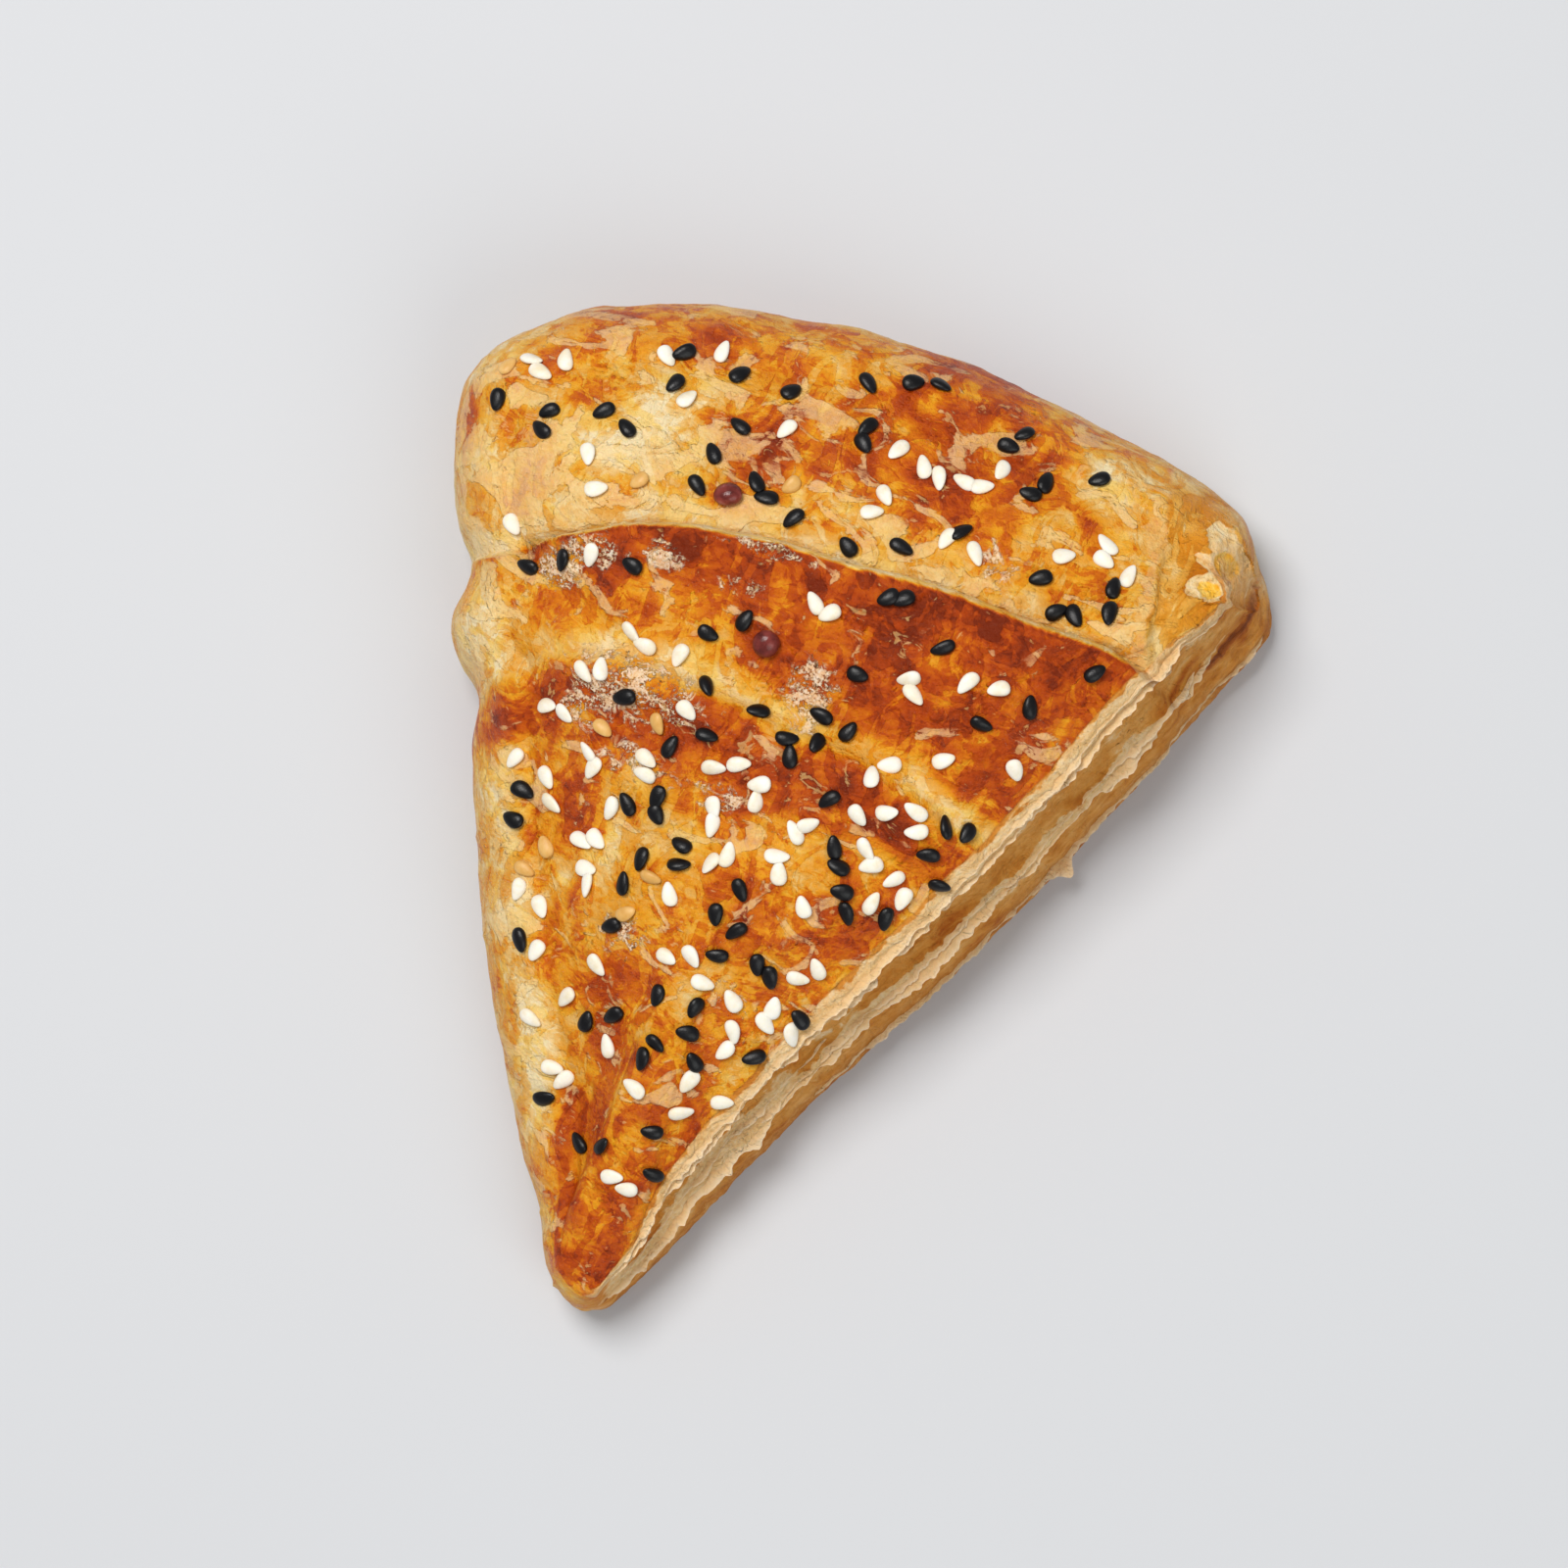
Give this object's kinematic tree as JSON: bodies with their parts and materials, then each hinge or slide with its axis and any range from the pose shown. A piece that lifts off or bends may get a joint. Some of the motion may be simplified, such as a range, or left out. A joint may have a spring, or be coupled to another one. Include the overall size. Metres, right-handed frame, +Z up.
{
  "type": "triangular puff pastry turnover with seeds",
  "caption": "Golden triangular puff pastry turnover with a folded crust, flaky cut side and a topping of pale, black and brown seeds.",
  "frame": {"origin": "on the ground plane, under the middle of the pastry's outline box", "axes": "+Z up from the flat underside, +Y from the narrow tip to the rounded back, +X towards the cut, layered side"},
  "size_m": [0.12, 0.145, 0.0396],
  "materials": {
    "crust": "satin",
    "sesame": "satin",
    "black_seed": "satin",
    "brown_seed": "satin"
  },
  "bodies": {
    "root": {"pastry": "crust", "sesame_seed_01": "sesame", "sesame_seed_02": "sesame", "sesame_seed_03": "sesame", "sesame_seed_04": "sesame", "sesame_seed_05": "sesame", "sesame_seed_06": "sesame", "sesame_seed_07": "sesame", "sesame_seed_08": "sesame", "sesame_seed_09": "sesame", "sesame_seed_10": "sesame", "sesame_seed_11": "sesame", "sesame_seed_12": "sesame", "sesame_seed_13": "sesame", "sesame_seed_14": "sesame", "sesame_seed_15": "sesame", "sesame_seed_16": "sesame", "sesame_seed_17": "sesame", "sesame_seed_18": "sesame", "sesame_seed_19": "sesame", "sesame_seed_20": "sesame", "sesame_seed_21": "sesame", "sesame_seed_22": "sesame", "sesame_seed_23": "sesame", "sesame_seed_24": "sesame", "sesame_seed_25": "sesame", "sesame_seed_26": "sesame", "sesame_seed_27": "sesame", "sesame_seed_28": "sesame", "sesame_seed_29": "sesame", "sesame_seed_30": "sesame", "black_seed_01": "black_seed", "black_seed_02": "black_seed", "black_seed_03": "black_seed", "black_seed_04": "black_seed", "black_seed_05": "black_seed", "black_seed_06": "black_seed", "black_seed_07": "black_seed", "black_seed_08": "black_seed", "black_seed_09": "black_seed", "black_seed_10": "black_seed", "black_seed_11": "black_seed", "black_seed_12": "black_seed", "black_seed_13": "black_seed", "black_seed_14": "black_seed", "black_seed_15": "black_seed", "black_seed_16": "black_seed", "black_seed_17": "black_seed", "black_seed_18": "black_seed", "black_seed_19": "black_seed", "black_seed_20": "black_seed", "black_seed_21": "black_seed", "black_seed_22": "black_seed", "black_seed_23": "black_seed", "black_seed_24": "black_seed", "black_seed_25": "black_seed", "black_seed_26": "black_seed", "black_seed_27": "black_seed", "brown_seed_01": "brown_seed", "brown_seed_02": "brown_seed"}
  },
  "joints": []
}
